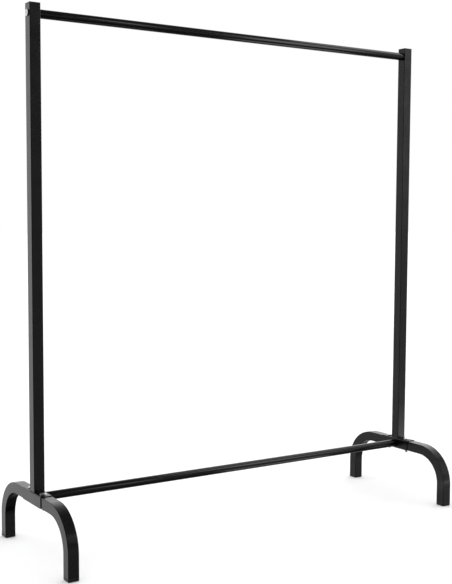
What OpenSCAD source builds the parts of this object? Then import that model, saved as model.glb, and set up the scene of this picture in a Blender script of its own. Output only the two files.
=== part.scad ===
// Straight garment rack: two square uprights on bent tube feet, joined by two round rails.
// X runs along the rails, Y from the front (-Y) to the rear, Z up. The origin is on the floor,
// midway between the uprights. Millimetres.

/* [Frame] */
// Overall height, from the floor to the top of the caps
rack_height = 1543; // [1300:1:1800]
// Distance between the centre lines of the two uprights
upright_spacing = 1368; // [700:1:2000]

/* [Square tube] */
// Outer width of the square tube of the uprights and feet
square_size = 32; // [28:1:40]
// Wall thickness of the square tube
square_wall = 1.2; // [1:0.1:1.4]
// Outer corner radius of the square tube
corner_radius = 1.5; // [1.5:0.1:4]

/* [Rails] */
// Outer diameter of both round rails
rail_diameter = 25; // [20:1:30]
// Wall thickness of the rails
rail_wall = 1.5; // [1:0.1:2.5]
// Drop from the top of the rack to the top rail's centre line
top_rail_drop = 27.5; // [26:0.5:120]
// Length of the threaded plug inside each end of the top rail
rail_plug_length = 25; // [22:1:40]

/* [Feet] */
// Depth of each foot, outside to outside
foot_depth = 480; // [400:1:700]
// Height of the foot bar's upper face
foot_bar_top = 188; // [160:1:260]
// Bend radius at the centre line of the foot tube
bend_radius = 102; // [60:1:110]

/* [Saddles] */
// Length of the U-shaped saddle over the foot bar
saddle_length = 126; // [120:1:180]
// Sheet thickness of the saddle
saddle_sheet = 2; // [1.5:0.1:3]
// Length of the stub that carries the lower rail
stub_length = 25; // [15:1:40]
// Wall thickness of the stub
stub_wall = 2; // [1.5:0.1:3]
// Radial gap between the stub and the lower rail
stub_gap = 0.1; // [0.05:0.05:0.3]

/* [Bolts] */
// Thread diameter of the bolts
bolt_diameter = 6; // [5:1:7]
// Diameter of the flat bolt heads
bolt_head_diameter = 20; // [16:1:22]
// Thickness of the flat bolt heads
bolt_head_height = 3; // [2.5:0.5:4]
// Rounding of the bolt heads' outer edge
bolt_edge_radius = 1.2; // [0.4:0.1:1.5]
// Width across the flats of the hexagon socket
socket_width = 4; // [3:0.5:5]
// Depth of the hexagon socket
socket_depth = 2.5; // [1:0.5:3]
// Distance between the front and rear bolt of a foot
foot_bolt_spacing = 85; // [70:1:90]
// Clearance of the drilled holes over the thread, in diameter
hole_clearance = 0.5; // [0.2:0.1:1]
// Length of thread that sits in the rail plug
plug_thread = 20; // [12:1:20]
// Length of thread that sits in the cap nut
nut_thread = 8; // [5:0.5:8]

/* [Cap nuts] */
// Width across the flats of the nut
nut_width = 10; // [10:0.5:13]
// Height of the nut with its dome
nut_height = 12; // [12:0.5:15]
// Height of the nut's hexagon
nut_hex_height = 5.5; // [4:0.5:6]
// Depth of the threaded hole in the nut
nut_bore_depth = 9.5; // [8.5:0.5:9.5]

/* [Plastic inserts] */
// Thickness of the top cap's flange
cap_flange = 3; // [2:0.5:6]
// Rounding of the top cap's upper edges
cap_edge_radius = 1; // [0.5:0.1:1.5]
// Height of the glide below the end of the tube
glide_flange = 11; // [6:0.5:14]
// Rounding of the glide's lower edges
glide_edge_radius = 3.5; // [1:0.5:5]
// Length of the insert inside the tube
insert_length = 15; // [10:1:16]
// Wall thickness of the insert
insert_wall = 2; // [1.5:0.1:2.5]
// Thickness of each rib on the insert
rib_height = 1.2; // [0.8:0.1:1.5]
// Number of ribs on the insert
rib_count = 3; // [2:1:4]
// How far the ribs stand out from the insert
rib_depth = 0.8; // [0.4:0.1:1.2]

/* [Hidden] */
$fn = 64;
CUT = 1;  // how far cutting shapes run past a face
HEX_SIDES = 6;
half_size = square_size / 2;
bore_size = square_size - 2 * square_wall;
bore_radius = corner_radius - square_wall;
rail_bore_radius = rail_diameter / 2 - rail_wall;
half_spacing = upright_spacing / 2;
upright_bottom = foot_bar_top + saddle_sheet;
upright_top = rack_height - cap_flange;
top_rail_height = rack_height - top_rail_drop;
bar_height = foot_bar_top - half_size;
leg_offset = foot_depth / 2 - half_size;
bend_offset = leg_offset - bend_radius;
bend_height = bar_height - bend_radius;
foot_bar_bottom = foot_bar_top - square_size;
top_rail_half = half_spacing - half_size;
lower_rail_half = top_rail_half - saddle_sheet;
hole_diameter = bolt_diameter + hole_clearance;
rail_bolt_length = square_size + plug_thread;
foot_bolt_length = saddle_sheet + square_size + nut_thread;
nut_corner_radius = nut_width / sqrt(3);
nut_dome_radius = nut_width / 2 - 0.25;

STEEL_BLACK = "#1c1c1e";
PLASTIC_BLACK = "#121213";
ZINC = "#c4c7ca";

// Sides of the rack, as signs along X and Y
LEFT = -1;
RIGHT = 1;
FRONT = -1;
REAR = 1;

// ---------- shared outlines ----------

// Centred square with round corners, as a union of exact shapes
module rounded_square(size, radius) {
    square([size, size - 2 * radius], center = true);
    square([size - 2 * radius, size], center = true);
    for (side_x = [-1, 1])
        for (side_y = [-1, 1])
            translate([side_x * (size / 2 - radius), side_y * (size / 2 - radius)])
                circle(r = radius);
}

module tube_outline() rounded_square(square_size, corner_radius);

module bore_outline() rounded_square(bore_size, bore_radius);

// Block between two heights, seen along its length, with its two upper corners rounded
module block_outline(half_width, top, radius, bottom) {
    corner_x = half_width - radius;
    corner_z = top - radius;
    translate([-half_width, bottom])
        square([2 * half_width, corner_z - bottom]);
    translate([-corner_x, bottom])
        square([2 * corner_x, top - bottom]);
    for (side = [-1, 1])
        translate([side * corner_x, corner_z])
            circle(r = radius);
}

// ---------- shared solids ----------

// Round bar or hole along X, between two X values at a given height
module bar_x(from_x, to_x, height, diameter)
    translate([from_x, 0, height])
        rotate([0, 90, 0])
            cylinder(h = to_x - from_x, d = diameter);

// Round tube along X, centred on the rack
module rail(half_length, height)
    color(STEEL_BLACK)
        difference() {
            bar_x(-half_length, half_length, height, rail_diameter);
            bar_x(-half_length - CUT, half_length + CUT, height, 2 * rail_bore_radius);
        }

// Flat-head bolt along Z: the head stands on z = 0 and the thread hangs below it
module flat_head_bolt(thread_length)
    color(ZINC)
        difference() {
            union() {
                translate([0, 0, -thread_length])
                    cylinder(h = thread_length, d = bolt_diameter);
                rotate_extrude()
                    head_outline();
            }
            translate([0, 0, bolt_head_height - socket_depth])
                cylinder(h = socket_depth + CUT, r = socket_width / sqrt(3), $fn = HEX_SIDES);
        }

// Half section of a bolt head with a round outer edge
module head_outline() {
    radius = bolt_head_diameter / 2;
    square([radius - bolt_edge_radius, bolt_head_height]);
    square([radius, bolt_head_height - bolt_edge_radius]);
    translate([radius - bolt_edge_radius, bolt_head_height - bolt_edge_radius])
        circle(r = bolt_edge_radius);
}

// Domed nut along Z: it bears on z = 0 and its dome points up
module domed_nut()
    color(ZINC)
        difference() {
            union() {
                intersection() {
                    cylinder(h = nut_hex_height, r = nut_corner_radius, $fn = HEX_SIDES);
                    cylinder(h = nut_hex_height, r1 = nut_corner_radius + 1.5, r2 = nut_width / 2);
                }
                cylinder(h = nut_height - nut_dome_radius, r = nut_dome_radius);
                translate([0, 0, nut_height - nut_dome_radius])
                    sphere(r = nut_dome_radius);
            }
            translate([0, 0, -CUT])
                cylinder(h = nut_bore_depth + CUT, d = bolt_diameter);
        }

// Plastic insert along Z: its flange lies on z = 0 and up, its ribbed sleeve hangs below
module tube_insert(flange, edge_radius)
    color(PLASTIC_BLACK) {
        difference() {
            union() {
                translate([0, 0, -insert_length])
                    linear_extrude(insert_length)
                        rounded_square(bore_size - 2 * rib_depth, bore_radius);
                for (rib = [0 : rib_count - 1])
                    translate([0, 0, -insert_length + (rib + 0.5) * insert_length / rib_count])
                        linear_extrude(rib_height)
                            bore_outline();
            }
            translate([0, 0, -insert_length - CUT])
                linear_extrude(insert_length + CUT)
                    rounded_square(bore_size - 2 * rib_depth - 2 * insert_wall, bore_radius);
        }
        rounded_flange(flange, edge_radius);
    }

// Square flange whose upper edges are rounded on all four sides
module rounded_flange(flange, edge_radius)
    intersection() {
        linear_extrude(flange)
            tube_outline();
        flange_bar(flange, edge_radius, 0);
        flange_bar(flange, edge_radius, 90);
    }

// Long bar with round upper edges, centred over a flange and turned about Z
module flange_bar(flange, edge_radius, turn)
    rotate([90, 0, turn])
        translate([0, 0, -square_size])
            linear_extrude(2 * square_size)
                block_outline(half_size, flange, edge_radius, 0);

// Arch of a foot: two legs, two bends and the bar between them, from the outline given as child
module foot_arch(leg_bottom) {
    translate([0, bend_offset, bar_height])
        rotate([90, 0, 0])
            linear_extrude(2 * bend_offset)
                children();
    for (side = [0, 1])
        mirror([0, side, 0]) {
            translate([0, leg_offset, leg_bottom])
                linear_extrude(bend_height - leg_bottom)
                    children();
            translate([0, bend_offset, bend_height])
                rotate([90, 0, 90])
                    rotate_extrude(angle = 90)
                        translate([bend_radius, 0])
                            children();
        }
}

// The two vertical bolt holes of a foot, through everything between two heights
module foot_bolt_holes(from_z, to_z)
    for (side = [FRONT, REAR])
        translate([0, side * foot_bolt_spacing / 2, from_z])
            cylinder(h = to_z - from_z, d = hole_diameter);

// ---------- pieces ----------

module upright(side)
    color(STEEL_BLACK)
        translate([side * half_spacing, 0, 0])
            difference() {
                translate([0, 0, upright_bottom])
                    linear_extrude(upright_top - upright_bottom)
                        tube_outline();
                translate([0, 0, upright_bottom - CUT])
                    linear_extrude(upright_top - upright_bottom + 2 * CUT)
                        bore_outline();
                bar_x(-half_size - CUT, half_size + CUT, top_rail_height, hole_diameter);
            }

module top_cap(side)
    translate([side * half_spacing, 0, upright_top])
        tube_insert(cap_flange, cap_edge_radius);

module glide(side_x, side_y)
    translate([side_x * half_spacing, side_y * leg_offset, glide_flange])
        mirror([0, 0, 1])
            tube_insert(glide_flange, glide_edge_radius);

// Threaded plug, flush with the end of the top rail
module rail_plug(side)
    color(ZINC)
        mirror([side == LEFT ? 0 : 1, 0, 0])
            difference() {
                bar_x(-top_rail_half, -top_rail_half + rail_plug_length, top_rail_height,
                    2 * rail_bore_radius);
                bar_x(-top_rail_half - CUT, -top_rail_half + rail_plug_length + CUT, top_rail_height,
                    bolt_diameter);
            }

// Bolt from the outer face of an upright into the rail plug
module rail_bolt(side)
    translate([side * (half_spacing + half_size), 0, top_rail_height])
        rotate([0, side * 90, 0])
            flat_head_bolt(rail_bolt_length);

module saddle(side)
    color(STEEL_BLACK)
        translate([side * half_spacing, 0, 0])
            difference() {
                translate([0, saddle_length / 2, 0])
                    rotate([90, 0, 0])
                        linear_extrude(saddle_length)
                            difference() {
                                block_outline(half_size + saddle_sheet, upright_bottom,
                                    corner_radius + saddle_sheet, foot_bar_bottom);
                                block_outline(half_size, foot_bar_top,
                                    corner_radius, foot_bar_bottom - CUT);
                            }
                foot_bolt_holes(foot_bar_bottom, upright_bottom + CUT);
            }

// Short tube on the inner side of a saddle; the lower rail slips over it
module rail_stub(side)
    color(STEEL_BLACK)
        mirror([side == LEFT ? 0 : 1, 0, 0])
            difference() {
                bar_x(-lower_rail_half, -lower_rail_half + stub_length, bar_height,
                    2 * (rail_bore_radius - stub_gap));
                bar_x(-lower_rail_half - CUT, -lower_rail_half + stub_length + CUT, bar_height,
                    2 * (rail_bore_radius - stub_gap - stub_wall));
            }

module foot(side)
    color(STEEL_BLACK)
        translate([side * half_spacing, 0, 0])
            difference() {
                foot_arch(glide_flange)
                    tube_outline();
                foot_arch(glide_flange - CUT)
                    bore_outline();
                foot_bolt_holes(foot_bar_bottom - CUT, foot_bar_top + CUT);
            }

module foot_bolt(side_x, side_y)
    translate([side_x * half_spacing, side_y * foot_bolt_spacing / 2, upright_bottom])
        flat_head_bolt(foot_bolt_length);

module cap_nut(side_x, side_y)
    translate([side_x * half_spacing, side_y * foot_bolt_spacing / 2, foot_bar_bottom])
        mirror([0, 0, 1])
            domed_nut();

// ---------- nodes ----------

module left_upright() upright(LEFT);
module right_upright() upright(RIGHT);
module left_top_cap() top_cap(LEFT);
module right_top_cap() top_cap(RIGHT);
module top_rail() rail(top_rail_half, top_rail_height);
module left_rail_plug() rail_plug(LEFT);
module right_rail_plug() rail_plug(RIGHT);
module left_rail_bolt() rail_bolt(LEFT);
module right_rail_bolt() rail_bolt(RIGHT);
module left_saddle() saddle(LEFT);
module right_saddle() saddle(RIGHT);
module left_rail_stub() rail_stub(LEFT);
module right_rail_stub() rail_stub(RIGHT);
module lower_rail() rail(lower_rail_half, bar_height);
module left_foot() foot(LEFT);
module right_foot() foot(RIGHT);
module left_front_foot_bolt() foot_bolt(LEFT, FRONT);
module left_rear_foot_bolt() foot_bolt(LEFT, REAR);
module right_front_foot_bolt() foot_bolt(RIGHT, FRONT);
module right_rear_foot_bolt() foot_bolt(RIGHT, REAR);
module left_front_cap_nut() cap_nut(LEFT, FRONT);
module left_rear_cap_nut() cap_nut(LEFT, REAR);
module right_front_cap_nut() cap_nut(RIGHT, FRONT);
module right_rear_cap_nut() cap_nut(RIGHT, REAR);
module left_front_glide() glide(LEFT, FRONT);
module left_rear_glide() glide(LEFT, REAR);
module right_front_glide() glide(RIGHT, FRONT);
module right_rear_glide() glide(RIGHT, REAR);

left_upright();
right_upright();
left_top_cap();
right_top_cap();
top_rail();
left_rail_plug();
right_rail_plug();
left_rail_bolt();
right_rail_bolt();
left_saddle();
right_saddle();
left_rail_stub();
right_rail_stub();
lower_rail();
left_foot();
right_foot();
left_front_foot_bolt();
left_rear_foot_bolt();
right_front_foot_bolt();
right_rear_foot_bolt();
left_front_cap_nut();
left_rear_cap_nut();
right_front_cap_nut();
right_rear_cap_nut();
left_front_glide();
left_rear_glide();
right_front_glide();
right_rear_glide();
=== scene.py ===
"""Looks of the straight garment rack: finishes, weld beads, floor, light and camera.

Metres, in the row frame: X along the rails, -Y to the front, Z up, origin on the floor.
"""

import math

import bmesh
import bpy
from mathutils import Matrix, Vector


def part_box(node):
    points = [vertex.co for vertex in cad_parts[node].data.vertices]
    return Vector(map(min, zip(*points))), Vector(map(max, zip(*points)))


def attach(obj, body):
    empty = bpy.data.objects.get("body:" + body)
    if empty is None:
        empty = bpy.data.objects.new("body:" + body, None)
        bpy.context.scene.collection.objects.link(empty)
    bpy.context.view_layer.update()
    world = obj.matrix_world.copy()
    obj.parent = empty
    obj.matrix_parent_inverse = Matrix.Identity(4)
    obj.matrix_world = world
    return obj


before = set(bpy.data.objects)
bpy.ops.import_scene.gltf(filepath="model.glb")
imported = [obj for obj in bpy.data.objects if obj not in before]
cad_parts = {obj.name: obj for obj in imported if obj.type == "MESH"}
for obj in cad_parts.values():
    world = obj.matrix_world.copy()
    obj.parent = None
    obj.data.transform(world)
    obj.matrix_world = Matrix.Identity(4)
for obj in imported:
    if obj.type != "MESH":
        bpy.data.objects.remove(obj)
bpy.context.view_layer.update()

MM = 0.001
SIDES = ("left", "right")
RAILS = ("top_rail", "lower_rail")

# Camera, at the place the rack is seen from
CAMERA_PLACE = (-1.7963, -2.6485, 0.9583)
CAMERA_YAW = math.radians(32.455)  # to the right of +Y
CAMERA_PITCH = math.radians(-4.412)
CAMERA_ROLL = math.radians(0.205)
CAMERA_LENS = 62.91
CAMERA_SHIFT = (0.0292, 0.00965)
CAMERA_NEAR, CAMERA_FAR = 0.05, 200.0

# Finishes. A grain is how many features it has in a metre; colours are linear.
SOFT_EDGE = 0.3 * MM  # how far a finish softens the shading of a sharp edge
BEVEL_SAMPLES = 8
REFRACTIVE_INDEX = 1.5

COAT_CLOUD, COAT_PEEL, COAT_GRAIN, COAT_RUB = 22.0, 420.0, 1500.0, 90.0
COAT_FILM = ((0.0006, 0.0006, 0.0007), (0.0016, 0.0016, 0.0017))
COAT_SPECKLE = (0.006, 0.006, 0.0063)
COAT_RUBBED = (0.014, 0.014, 0.0147)
TUBE_ROUGHNESS, TUBE_TEXTURE = (0.2, 0.26), 0.8
RAIL_ROUGHNESS, RAIL_TEXTURE = (0.09, 0.12), 0.08

PLASTIC_CLOUD, PLASTIC_GRAIN = 60.0, 2300.0
PLASTIC_BODY = ((0.0045, 0.0045, 0.0047), (0.008, 0.008, 0.0082))
PLASTIC_WORN = (0.025, 0.025, 0.025)
PLASTIC_ROUGHNESS = (0.36, 0.48)

ZINC_RINGS, ZINC_CLOUD, ZINC_PITS = 700.0, 260.0, 3000.0
ZINC_PLATE = ((0.66, 0.67, 0.69), (0.84, 0.84, 0.83))
ZINC_DULL = (0.55, 0.56, 0.58)
ZINC_ROUGHNESS = (0.34, 0.44)

# Weld bead between an upright and its saddle
TUBE_CORNER_RADIUS = 1.5 * MM
SADDLE_BEND_RADIUS = 3.5 * MM
BEAD_HEIGHT = 1.4 * MM
BEAD_WIDTH = 1.4 * MM
BEAD_BULGE = 0.3 * MM
BEAD_ROOT = 0.5 * MM  # how deep the bead's hidden side sits in the metal
RIPPLE_SPACING = 1.7 * MM
RIPPLE_DEPTH = 0.1 * MM
RIPPLE_CURVE = 1.1  # how far each ripple bows across the bead, in radians
BEAD_STEPS_PER_RIPPLE = 8
BEAD_ARC_POINTS = 7
# Slow unevenness of the bead: (share of its size, waves per ripple, phase)
BEAD_WANDER = ((0.1, 2.3, 0.0), (0.07, 5.1, 1.0))

# Studio. Levels are brightness as the rack mirrors it, where 1 is white.
FLOOR_HALF_SIZE = 60.0
FLOOR_SHADE = (0.88, 0.88, 0.88)
PALE_COLOUR, PALE_LEVEL = (1.0, 1.0, 1.0), 1.0
OVERHEAD_ANGLE = math.radians(100.0)
OVERHEAD_POWER = 3.2
ROOM_LEVEL = 1.2
BACKDROP_DIRECTION = Vector((0.537, 0.844, 0.0))
# (how far round from facing away from the backdrop, 0, to facing it, 1; level)
ROOM_AROUND = (
    (0.0, 0.03),
    (0.25, 0.05),
    (0.33, 0.1),
    (0.38, 0.42),
    (0.5, 0.5),
    (0.62, 0.38),
    (0.79, 1.05),
    (1.0, 1.0),
)
# (how far up, by the height of the direction: straight down 0, horizontal 0.5, straight up 1; level)
ROOM_UPWARD = (
    (0.0, 0.1),
    (0.2, 0.25),
    (0.37, 0.9),
    (0.5, 1.0),
    (0.79, 1.0),
    (0.86, 0.32),
    (0.95, 0.2),
    (1.0, 0.05),
)
# Brighter patches of the room: direction, half angles in degrees where it starts to fade and ends,
# level
ROOM_PATCHES = (
    (Vector((0.68, 0.48, 0.55)), 8.0, 24.0, 0.55),
    (Vector((0.38, -0.9, -0.22)), 8.0, 24.0, 0.22),
)
# Soft boxes that only gloss shows: place, point they face, width, height, level
SOFT_BOXES = (
    (Vector((2.15, -2.5, 1.9)), Vector((0.4, 0.0, 1.3)), 0.75, 2.0, 2.1),
    (Vector((5.0, -10.0, 4.5)), Vector((-0.4, 0.0, 0.8)), 0.7, 4.6, 2.4),
    (Vector((1.35, -0.2, 1.95)), Vector((0.3, -0.2, 1.5)), 0.85, 1.5, 1.4),
    (Vector((1.35, -0.33, 0.01)), Vector((1.35, -0.33, 1.0)), 0.7, 1.05, 1.4),
    (Vector((0.28, -0.13, 0.01)), Vector((0.28, -0.13, 1.0)), 0.45, 0.16, 1.2),
)


# ---------- shader nodes ----------


def new_tree(name):
    """An empty material and its node tree."""
    material = bpy.data.materials.new(name)
    material.use_nodes = True
    material.node_tree.nodes.clear()
    return material, material.node_tree


def add(tree, kind, settings=None, **inputs):
    """Adds one node. Settings are its properties; inputs are values, or sockets to link from."""
    node = tree.nodes.new(kind)
    for key, value in (settings or {}).items():
        setattr(node, key, value)
    for key, value in inputs.items():
        plug(tree, node, key.replace("_", " "), value)
    return node


def plug(tree, node, name, value):
    """Sets or links one input of a node, by its name or its number."""
    socket = node.inputs[int(name) if name.isdigit() else name]
    if isinstance(value, bpy.types.NodeSocket):
        tree.links.new(value, socket)
    else:
        socket.default_value = value


def noise(tree, place, scale, detail=2.0, roughness=0.5):
    """Noise around 0.5, at so many features a metre."""
    node = add(
        tree, "ShaderNodeTexNoise", Vector=place, Scale=scale, Detail=detail, Roughness=roughness
    )
    return node.outputs["Fac"]


def spread(tree, value, low, high, from_low=0.3, from_high=0.7):
    """Maps from_low to from_high smoothly onto low to high; the defaults suit a noise."""
    node = add(tree, "ShaderNodeMapRange", {"interpolation_type": "SMOOTHSTEP"}, Value=value)
    for name, number in (
        ("From Min", from_low),
        ("From Max", from_high),
        ("To Min", low),
        ("To Max", high),
    ):
        node.inputs[name].default_value = number
    return node.outputs["Result"]


def math_node(tree, operation, first, second=0.0):
    """One Math node with two inputs."""
    node = tree.nodes.new("ShaderNodeMath")
    node.operation = operation
    plug(tree, node, "0", first)
    plug(tree, node, "1", second)
    return node.outputs[0]


def bevelled_normal(tree, radius):
    """The surface normal, rounded off near edges."""
    return add(tree, "ShaderNodeBevel", {"samples": BEVEL_SAMPLES}, Radius=radius).outputs[0]


def edge_mask(tree, radius, gain):
    """1 along outer and inner edges, 0 on open faces.

    It is how far a bevelled normal turns from the true one, times the gain.
    """
    geometry = add(tree, "ShaderNodeNewGeometry")
    turn = tree.nodes.new("ShaderNodeVectorMath")
    turn.operation = "DOT_PRODUCT"
    plug(tree, turn, "0", bevelled_normal(tree, radius))
    plug(tree, turn, "1", geometry.outputs["Normal"])
    away = math_node(tree, "SUBTRACT", 1.0, turn.outputs["Value"])
    scaled = math_node(tree, "MULTIPLY", away, gain)
    return math_node(tree, "MINIMUM", scaled, 1.0)


def tint(tree, factor, dark, light):
    """Colour between dark and light."""
    node = add(tree, "ShaderNodeMix", {"data_type": "RGBA"})
    tree.links.new(factor, node.inputs[0])
    node.inputs[6].default_value = (*dark, 1.0)
    node.inputs[7].default_value = (*light, 1.0)
    return node.outputs[2]


def blend_colour(tree, factor, first, light):
    """A colour socket, lightened towards light by a factor."""
    node = add(tree, "ShaderNodeMix", {"data_type": "RGBA"})
    tree.links.new(factor, node.inputs[0])
    tree.links.new(first, node.inputs[6])
    node.inputs[7].default_value = (*light, 1.0)
    return node.outputs[2]


def bump(tree, height, strength, distance, normal=None):
    """A bump from a height socket, on top of an earlier normal if there is one."""
    node = add(tree, "ShaderNodeBump", Height=height, Strength=strength, Distance=distance)
    if normal is not None:
        tree.links.new(normal, node.inputs["Normal"])
    return node.outputs["Normal"]


def finish_material(tree, shader):
    """Joins the shader to the material's output."""
    output = add(tree, "ShaderNodeOutputMaterial")
    tree.links.new(shader.outputs[0], output.inputs["Surface"])


# ---------- finishes ----------


def powder_coat(name, roughness, texture):
    """Black powder coat with faint orange peel and a fine grain, thinner and paler on the edges.

    Roughness is a (low, high) pair; texture is how strong the peel and the grain are.
    """
    material, tree = new_tree(name)
    place = add(tree, "ShaderNodeTexCoord").outputs["Object"]
    cloud = noise(tree, place, COAT_CLOUD, detail=4.0)
    peel = noise(tree, place, COAT_PEEL, detail=1.0)
    grain = noise(tree, place, COAT_GRAIN, detail=2.0, roughness=0.6)
    edges = edge_mask(tree, 1.2 * MM, 2.2)
    patchy = spread(tree, noise(tree, place, COAT_RUB, detail=3.0), 0.0, 1.0)
    rubbed = math_node(tree, "MULTIPLY", edges, patchy)

    film = tint(tree, spread(tree, cloud, 0.0, 1.0), *COAT_FILM)
    speckled = blend_colour(tree, spread(tree, grain, 0.0, 0.16, 0.45, 0.75), film, COAT_SPECKLE)
    colour = blend_colour(tree, math_node(tree, "MULTIPLY", rubbed, 0.5), speckled, COAT_RUBBED)
    gloss = math_node(
        tree, "ADD", spread(tree, cloud, *roughness), spread(tree, grain, -0.02, 0.03)
    )
    soft_edge = bevelled_normal(tree, SOFT_EDGE)
    orange_peel = bump(tree, peel, 0.18 * texture, 0.05 * MM, soft_edge)

    shader = add(
        tree,
        "ShaderNodeBsdfPrincipled",
        Base_Color=colour,
        Roughness=math_node(tree, "SUBTRACT", gloss, math_node(tree, "MULTIPLY", rubbed, 0.06)),
        IOR=REFRACTIVE_INDEX,
        Normal=bump(tree, grain, 0.22 * texture, 0.02 * MM, orange_peel),
    )
    finish_material(tree, shader)
    return material


def moulded_plastic():
    """Black polyethylene with a fine grain, slightly paler and shinier along its edges."""
    material, tree = new_tree("moulded_black_plastic")
    place = add(tree, "ShaderNodeTexCoord").outputs["Object"]
    cloud = noise(tree, place, PLASTIC_CLOUD, detail=3.0)
    grain = noise(tree, place, PLASTIC_GRAIN, detail=3.0, roughness=0.65)
    edges = edge_mask(tree, 0.8 * MM, 2.0)
    worn = math_node(tree, "MULTIPLY", edges, spread(tree, cloud, 0.1, 0.8))
    body = tint(tree, spread(tree, cloud, 0.0, 1.0), *PLASTIC_BODY)
    colour = blend_colour(tree, math_node(tree, "MULTIPLY", worn, 0.4), body, PLASTIC_WORN)
    roughness = math_node(
        tree,
        "SUBTRACT",
        spread(tree, grain, *PLASTIC_ROUGHNESS),
        math_node(tree, "MULTIPLY", worn, 0.12),
    )
    soft_edge = bevelled_normal(tree, SOFT_EDGE)
    shader = add(
        tree,
        "ShaderNodeBsdfPrincipled",
        Base_Color=colour,
        Roughness=roughness,
        IOR=REFRACTIVE_INDEX,
        Normal=bump(tree, grain, 0.35, 0.03 * MM, soft_edge),
    )
    finish_material(tree, shader)
    return material


def bright_zinc(name, centre, axis):
    """Bright zinc plate: fine turned rings round the axis, cloudy passivation, dull edges."""
    material, tree = new_tree(name)
    place = add(tree, "ShaderNodeTexCoord").outputs["Object"]
    local = tree.nodes.new("ShaderNodeVectorMath")
    local.operation = "SUBTRACT"
    plug(tree, local, "0", place)
    local.inputs[1].default_value = centre
    rings = add(
        tree,
        "ShaderNodeTexWave",
        {"wave_type": "RINGS", "rings_direction": axis},
        Vector=local.outputs[0],
        Scale=ZINC_RINGS,
        Distortion=1.2,
        Detail=2.0,
        Detail_Scale=1.5,
    ).outputs["Fac"]
    cloud = noise(tree, place, ZINC_CLOUD, detail=4.0)
    pits = noise(tree, place, ZINC_PITS, detail=2.0)
    edges = edge_mask(tree, 0.5 * MM, 2.0)
    plate = tint(tree, spread(tree, cloud, 0.0, 1.0), *ZINC_PLATE)
    colour = blend_colour(tree, math_node(tree, "MULTIPLY", edges, 0.35), plate, ZINC_DULL)
    roughness = math_node(
        tree, "ADD", spread(tree, cloud, *ZINC_ROUGHNESS), math_node(tree, "MULTIPLY", edges, 0.1)
    )
    soft_edge = bevelled_normal(tree, SOFT_EDGE)
    turned = bump(tree, rings, 0.12, 0.01 * MM, soft_edge)
    shader = add(
        tree,
        "ShaderNodeBsdfPrincipled",
        Base_Color=colour,
        Metallic=1.0,
        Roughness=roughness,
        Normal=bump(tree, pits, 0.1, 0.01 * MM, turned),
    )
    finish_material(tree, shader)
    return material


def assign(node, material):
    """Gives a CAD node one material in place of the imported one."""
    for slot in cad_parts[node].material_slots:
        slot.material = material


def is_zinc(node):
    """Whether a CAD node is a zinc-plated fastener."""
    return node.endswith(("_bolt", "_nut", "_plug"))


def is_plastic(node):
    """Whether a CAD node is a plastic insert."""
    return node.endswith(("_cap", "_glide"))


def dress_cad_nodes(tube, rail, plastic):
    """One finish for each CAD node, by what it is made of."""
    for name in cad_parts:
        if name in RAILS:
            assign(name, rail)
        elif is_plastic(name):
            assign(name, plastic)
        elif is_zinc(name):
            low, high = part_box(name)
            axis = "X" if "_rail_" in name else "Z"
            assign(name, bright_zinc(f"bright_zinc_{name}", (low + high) / 2, axis))
        else:
            assign(name, tube)


# ---------- weld beads ----------


def rounded_square_path(half, radius, step):
    """Points and outward directions along a rounded square, evenly spaced, anticlockwise."""
    straight = 2 * (half - radius)
    corner = math.pi / 2 * radius
    count = round(4 * (straight + corner) / step)
    points = []
    for i in range(count):
        quarter, along = divmod(4 * i / count, 1.0)
        travelled = along * (straight + corner)
        if travelled < straight:
            place, outward = Vector((half, travelled - straight / 2)), Vector((1.0, 0.0))
        else:
            turn = (travelled - straight) / radius
            outward = Vector((math.cos(turn), math.sin(turn)))
            place = Vector((half - radius, half - radius)) + radius * outward
        spin = Matrix.Rotation(quarter * math.pi / 2, 2)
        points.append((spin @ place, spin @ outward))
    return points


def saddle_surface(offset, half_width, top):
    """Height of the saddle's outer face at a distance from its middle plane."""
    past = max(0.0, abs(offset) - (half_width - SADDLE_BEND_RADIUS))
    past = min(past, SADDLE_BEND_RADIUS)
    return top - SADDLE_BEND_RADIUS + math.sqrt(SADDLE_BEND_RADIUS**2 - past**2)


def bead_section(place, outward, station, half_width, top):
    """Closed outline of the bead at one station: upper toe, face, lower toe, two hidden corners."""
    wander = sum(share * math.sin(rate * station + phase) for share, rate, phase in BEAD_WANDER)
    width, height = BEAD_WIDTH * (1 + wander), BEAD_HEIGHT * (1 - wander)
    toe = place + width * outward
    toe_height = saddle_surface(toe.x, half_width, top)
    upper = Vector((place.x, place.y, top + height))
    lower = Vector((toe.x, toe.y, toe_height))
    out = Vector((outward.x, outward.y, 1.0)).normalized()
    outline = []
    for k in range(BEAD_ARC_POINTS):
        t = k / (BEAD_ARC_POINTS - 1)
        crown = 4 * t * (1 - t)
        ripple = RIPPLE_DEPTH * math.sin(station + RIPPLE_CURVE * crown)
        outline.append(upper.lerp(lower, t) + crown * (BEAD_BULGE + ripple) * out)
    inward = BEAD_ROOT * Vector((outward.x, outward.y, 0.0))
    drop = Vector((0.0, 0.0, BEAD_ROOT))
    outline.append(Vector((toe.x, toe.y, toe_height)) - inward - drop)
    outline.append(Vector((place.x, place.y, min(toe_height, top) - BEAD_ROOT)) - inward)
    outline.append(upper - inward)
    return outline


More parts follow.
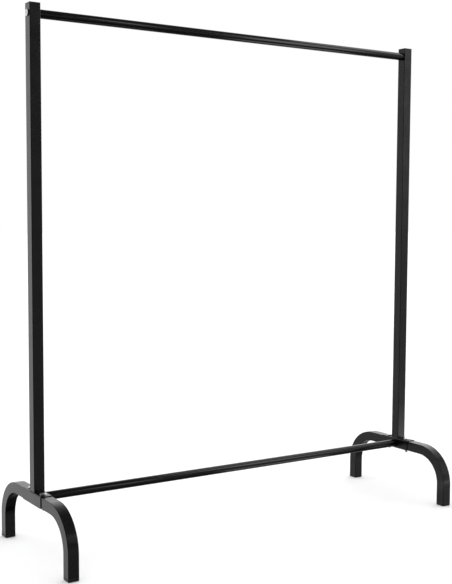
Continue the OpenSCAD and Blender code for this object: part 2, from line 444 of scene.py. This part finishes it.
def weld_bead(side, steel):
    """Fillet weld all round the foot of an upright, on its saddle."""
    tube_low, tube_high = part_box(f"{side}_upright")
    saddle_low, saddle_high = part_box(f"{side}_saddle")
    half_width = (saddle_high.x - saddle_low.x) / 2
    half = (tube_high.x - tube_low.x) / 2
    step = RIPPLE_SPACING / BEAD_STEPS_PER_RIPPLE
    path = rounded_square_path(half, TUBE_CORNER_RADIUS, step)
    ripples = round(len(path) / BEAD_STEPS_PER_RIPPLE)
    mesh = bmesh.new()
    rings = []
    for i, (place, outward) in enumerate(path):
        station = 2 * math.pi * ripples * i / len(path)
        outline = bead_section(place, outward, station, half_width, tube_low.z)
        rings.append([mesh.verts.new(point) for point in outline])
    for ring, following in zip(rings, rings[1:] + rings[:1]):
        for a, b, c, d in zip(ring, ring[1:] + ring[:1], following[1:] + following[:1], following):
            mesh.faces.new((a, d, c, b)).smooth = True
    bmesh.ops.recalc_face_normals(mesh, faces=mesh.faces)
    data = bpy.data.meshes.new(f"{side}_weld_bead")
    mesh.to_mesh(data)
    mesh.free()
    data.materials.append(steel)
    bead = bpy.data.objects.new(f"{side}_weld_bead", data)
    bead.location = ((tube_low.x + tube_high.x) / 2, 0.0, 0.0)
    bpy.context.scene.collection.objects.link(bead)
    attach(bead, "root")


# ---------- studio ----------


def pale_floor():
    """A wide plain pale floor."""
    material, tree = new_tree("pale_floor")
    shader = add(tree, "ShaderNodeBsdfDiffuse", Color=(*FLOOR_SHADE, 1.0))
    finish_material(tree, shader)
    data = bpy.data.meshes.new("floor")
    reach = FLOOR_HALF_SIZE
    data.from_pydata(
        [(-reach, -reach, 0.0), (reach, -reach, 0.0), (reach, reach, 0.0), (-reach, reach, 0.0)],
        [],
        [(0, 1, 2, 3)],
    )
    data.materials.append(material)
    floor = bpy.data.objects.new("floor", data)
    floor.visible_glossy = False
    bpy.context.scene.collection.objects.link(floor)


def ramp(tree, factor, stops):
    """A grey ramp from (position, level) pairs, with positions from 0 to 1."""
    node = tree.nodes.new("ShaderNodeValToRGB")
    elements = node.color_ramp.elements
    while len(elements) > 1:
        elements.remove(elements[-1])
    for i, (position, level) in enumerate(stops):
        element = elements[0] if i == 0 else elements.new(position)
        element.position = position
        element.color = (level, level, level, 1.0)
    tree.links.new(factor, node.inputs["Fac"])
    return node.outputs["Color"]


def studio_world():
    """Plain pale surroundings for the camera.

    What lights the rack and shows in it is a bright backdrop behind it and a dim room in front.
    """
    world = bpy.data.worlds.new("studio")
    bpy.context.scene.world = world
    world.use_nodes = True
    tree = world.node_tree
    tree.nodes.clear()
    direction = add(tree, "ShaderNodeTexCoord").outputs["Generated"]
    height = add(tree, "ShaderNodeSeparateXYZ", Vector=direction).outputs["Z"]
    level = ramp(tree, unit_range(tree, along(tree, direction, BACKDROP_DIRECTION)), ROOM_AROUND)
    for patch, inner, outer, brightness in ROOM_PATCHES:
        near = spread(
            tree,
            along(tree, direction, patch.normalized()),
            0.0,
            brightness,
            math.cos(math.radians(outer)),
            math.cos(math.radians(inner)),
        )
        level = math_node(tree, "ADD", level, near)
    level = math_node(tree, "MULTIPLY", level, ramp(tree, unit_range(tree, height), ROOM_UPWARD))
    room = add(tree, "ShaderNodeBackground", Color=level, Strength=ROOM_LEVEL)
    pale = add(tree, "ShaderNodeBackground", Color=(*PALE_COLOUR, 1.0), Strength=PALE_LEVEL)
    seen = add(tree, "ShaderNodeLightPath").outputs["Is Camera Ray"]
    mix = tree.nodes.new("ShaderNodeMixShader")
    tree.links.new(seen, mix.inputs[0])
    tree.links.new(room.outputs[0], mix.inputs[1])
    tree.links.new(pale.outputs[0], mix.inputs[2])
    output = add(tree, "ShaderNodeOutputWorld")
    tree.links.new(mix.outputs[0], output.inputs["Surface"])


def along(tree, direction, axis):
    """Cosine of the angle between a direction socket and a fixed axis."""
    node = tree.nodes.new("ShaderNodeVectorMath")
    node.operation = "DOT_PRODUCT"
    tree.links.new(direction, node.inputs[0])
    node.inputs[1].default_value = axis
    return node.outputs["Value"]


def unit_range(tree, value):
    """Maps -1 to 1 onto 0 to 1."""
    node = add(tree, "ShaderNodeMapRange", Value=value)
    node.inputs["From Min"].default_value = -1.0
    return node.outputs["Result"]


def overhead_light():
    """Very soft light from straight above, which shows in no reflection."""
    data = bpy.data.lights.new("overhead", "SUN")
    data.angle = OVERHEAD_ANGLE
    data.energy = OVERHEAD_POWER
    lamp = bpy.data.objects.new("overhead", data)
    lamp.visible_glossy = False
    bpy.context.scene.collection.objects.link(lamp)


def soft_box(number, place, target, width, height, level):
    """A rectangular light that shows only in glossy reflections."""
    name = f"soft_box_{number}"
    data = bpy.data.lights.new(name, "AREA")
    data.shape = "RECTANGLE"
    data.size, data.size_y = width, height
    data.energy = level * math.pi * width * height
    lamp = bpy.data.objects.new(name, data)
    lamp.location = place
    lamp.rotation_euler = (target - place).to_track_quat("-Z", "Y").to_euler()
    lamp.visible_camera = False
    lamp.visible_diffuse = False
    bpy.context.scene.collection.objects.link(lamp)


def camera():
    """The camera, where the rack is seen from."""
    data = bpy.data.cameras.new("camera")
    data.lens = CAMERA_LENS
    data.shift_x, data.shift_y = CAMERA_SHIFT
    data.clip_start, data.clip_end = CAMERA_NEAR, CAMERA_FAR
    view = bpy.data.objects.new("camera", data)
    turn = (
        Matrix.Rotation(-CAMERA_YAW, 4, "Z")
        @ Matrix.Rotation(math.pi / 2 + CAMERA_PITCH, 4, "X")
        @ Matrix.Rotation(CAMERA_ROLL, 4, "Z")
    )
    view.matrix_world = Matrix.Translation(CAMERA_PLACE) @ turn
    bpy.context.scene.collection.objects.link(view)
    bpy.context.scene.camera = view


tube_finish = powder_coat("satin_powder_coat", TUBE_ROUGHNESS, TUBE_TEXTURE)
rail_finish = powder_coat("gloss_powder_coat", RAIL_ROUGHNESS, RAIL_TEXTURE)
dress_cad_nodes(tube_finish, rail_finish, moulded_plastic())
for rack_side in SIDES:
    weld_bead(rack_side, tube_finish)
pale_floor()
studio_world()
overhead_light()
for number, box in enumerate(SOFT_BOXES, 1):
    soft_box(number, *box)
camera()
bpy.context.scene.view_settings.view_transform = "Standard"
